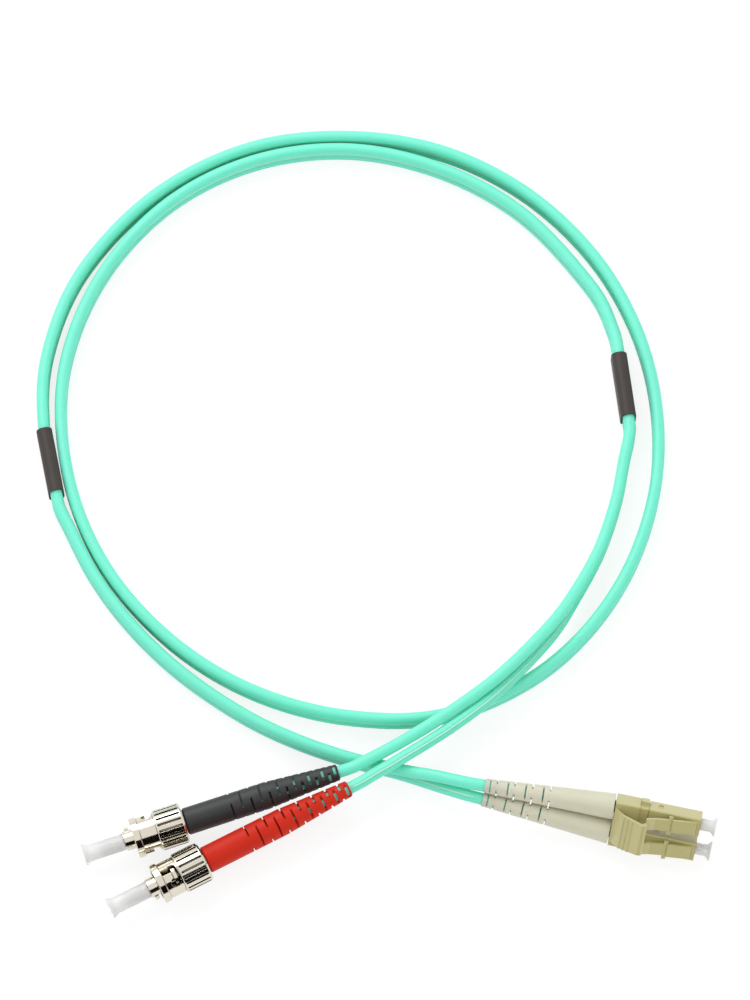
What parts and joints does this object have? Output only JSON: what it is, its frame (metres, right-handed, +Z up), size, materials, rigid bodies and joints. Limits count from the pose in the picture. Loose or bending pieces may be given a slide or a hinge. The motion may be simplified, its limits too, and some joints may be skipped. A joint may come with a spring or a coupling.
{
  "type": "patch cord",
  "caption": "Duplex fibre optic patch cord, coiled, with bayonet coupling plugs at one end and a clipped latch plug pair at the other, dust caps on",
  "frame": {"origin": "centre of the underside of the plugs' bounding box, on the surface that the cord lies on", "axes": "+X along the row of plugs, from the bayonet plugs to the latch plugs; +Y away from the plugs across the coil; +Z up"},
  "size_m": [0.1567, 0.1965, 0.0139],
  "materials": {
    "aqua_jacket": "satin, soft plastic jacket",
    "beige_moulding": "smooth moulded",
    "black_boot": "satin",
    "dark_sleeve": "matte, shrunk tube",
    "ferrule_ceramic": "polished",
    "fibre_buffer": "smooth",
    "inner_steel": "fine turned",
    "milky_cap": "translucent",
    "nickel_plate": "bright nickel plate",
    "red_boot": "satin",
    "white_boot": "satin"
  },
  "bodies": {
    "cord_and_plugs": {"zip_cord": "aqua_jacket", "sleeve_st": "dark_sleeve", "sleeve_lc": "dark_sleeve", "st_leg_black": "aqua_jacket", "st_leg_red": "aqua_jacket", "lc_leg_far": "aqua_jacket", "lc_leg_near": "aqua_jacket", "duplex_clip": "beige_moulding", "st_ferrule_black": "ferrule_ceramic", "st_body_black": "nickel_plate", "st_spring_black": "inner_steel", "st_clip_black": "inner_steel", "st_crimp_black": "inner_steel", "st_boot_black": "black_boot", "st_fibre_black": "fibre_buffer", "st_ferrule_red": "ferrule_ceramic", "st_body_red": "nickel_plate", "st_spring_red": "inner_steel", "st_clip_red": "inner_steel", "st_crimp_red": "inner_steel", "st_boot_red": "red_boot", "st_fibre_red": "fibre_buffer", "lc_housing_far": "beige_moulding", "lc_spring_far": "inner_steel", "lc_rear_far": "beige_moulding", "lc_crimp_far": "inner_steel", "lc_boot_far": "white_boot", "lc_fibre_far": "fibre_buffer", "lc_housing_near": "beige_moulding", "lc_spring_near": "inner_steel", "lc_rear_near": "beige_moulding", "lc_crimp_near": "inner_steel", "lc_boot_near": "white_boot", "lc_fibre_near": "fibre_buffer"},
    "st_washer_black": {"st_washer_black": "inner_steel"},
    "st_nut_black": {"st_nut_black": "nickel_plate"},
    "st_cap_black": {"st_cap_black": "milky_cap"},
    "st_washer_red": {"st_washer_red": "inner_steel"},
    "st_nut_red": {"st_nut_red": "nickel_plate"},
    "st_cap_red": {"st_cap_red": "milky_cap"},
    "duplex_trigger": {"duplex_trigger": "beige_moulding"},
    "lc_latch_far": {"lc_latch_far": "beige_moulding"},
    "lc_ferrule_far": {"lc_ferrule_far": "ferrule_ceramic", "lc_holder_far": "inner_steel"},
    "lc_cap_far": {"lc_cap_far": "milky_cap"},
    "lc_latch_near": {"lc_latch_near": "beige_moulding"},
    "lc_ferrule_near": {"lc_ferrule_near": "ferrule_ceramic", "lc_holder_near": "inner_steel"},
    "lc_cap_near": {"lc_cap_near": "milky_cap"}
  },
  "joints": [
    {"name": "st_black_turn", "type": "hinge", "parent": "cord_and_plugs", "child": "st_washer_black", "pos_m": [-0.04971, 0.00421, 0.00521], "axis": [-0.9498, -0.3086, -0.0523], "continuous": true},
    {"name": "st_black_couple", "type": "slide", "parent": "st_washer_black", "child": "st_nut_black", "axis": [-0.9498, -0.3086, -0.0523], "range_m": [0, 0.002], "stiffness_N_per_m": 800, "springref_m": -0.003, "deforming": ["st_spring_black"]},
    {"name": "st_black_cap_pull", "type": "slide", "parent": "cord_and_plugs", "child": "st_cap_black", "axis": [-0.9498, -0.3086, -0.0523], "range_m": [0, 0.008]},
    {"name": "st_red_turn", "type": "hinge", "parent": "cord_and_plugs", "child": "st_washer_red", "pos_m": [-0.04495, -0.00513, 0.00521], "axis": [-0.8898, -0.4534, -0.0523], "continuous": true},
    {"name": "st_red_couple", "type": "slide", "parent": "st_washer_red", "child": "st_nut_red", "axis": [-0.8898, -0.4534, -0.0523], "range_m": [0, 0.002], "stiffness_N_per_m": 800, "springref_m": -0.003, "deforming": ["st_spring_red"]},
    {"name": "st_red_cap_pull", "type": "slide", "parent": "cord_and_plugs", "child": "st_cap_red", "axis": [-0.8898, -0.4534, -0.0523], "range_m": [0, 0.008]},
    {"name": "trigger_press", "type": "hinge", "parent": "cord_and_plugs", "child": "duplex_trigger", "pos_m": [0.04851, 0.00317, 0.00783], "axis": [0.1631, 0.6757, 0.7189], "range_deg": [0, 10], "stiffness_Nm_per_rad": 0.02, "springref_deg": -2.86},
    {"name": "lc_far_latch_press", "type": "hinge", "parent": "cord_and_plugs", "child": "lc_latch_far", "pos_m": [0.06651, 0.00176, 0.00942], "axis": [-0.1631, -0.6757, -0.7189], "range_deg": [0, 4.8]},
    {"name": "lc_far_ferrule_float", "type": "slide", "parent": "cord_and_plugs", "child": "lc_ferrule_far", "axis": [-0.9793, 0.1992, 0.0349], "range_m": [0, 0.001], "stiffness_N_per_m": 1000, "springref_m": -0.002, "deforming": ["lc_spring_far"]},
    {"name": "lc_far_cap_pull", "type": "slide", "parent": "cord_and_plugs", "child": "lc_cap_far", "axis": [0.9793, -0.1992, -0.0349], "range_m": [0, 0.008]},
    {"name": "lc_near_latch_press", "type": "hinge", "parent": "cord_and_plugs", "child": "lc_latch_near", "pos_m": [0.06549, -0.00246, 0.00492], "axis": [-0.1631, -0.6757, -0.7189], "range_deg": [0, 4.8]},
    {"name": "lc_near_ferrule_float", "type": "slide", "parent": "cord_and_plugs", "child": "lc_ferrule_near", "axis": [-0.9793, 0.1992, 0.0349], "range_m": [0, 0.001], "stiffness_N_per_m": 1000, "springref_m": -0.002, "deforming": ["lc_spring_near"]},
    {"name": "lc_near_cap_pull", "type": "slide", "parent": "cord_and_plugs", "child": "lc_cap_near", "axis": [0.9793, -0.1992, -0.0349], "range_m": [0, 0.008]}
  ],
  "couplings": [
    {"joint": "lc_far_latch_press", "follows": "trigger_press", "ratio": 0.48},
    {"joint": "lc_near_latch_press", "follows": "trigger_press", "ratio": 0.48}
  ]
}
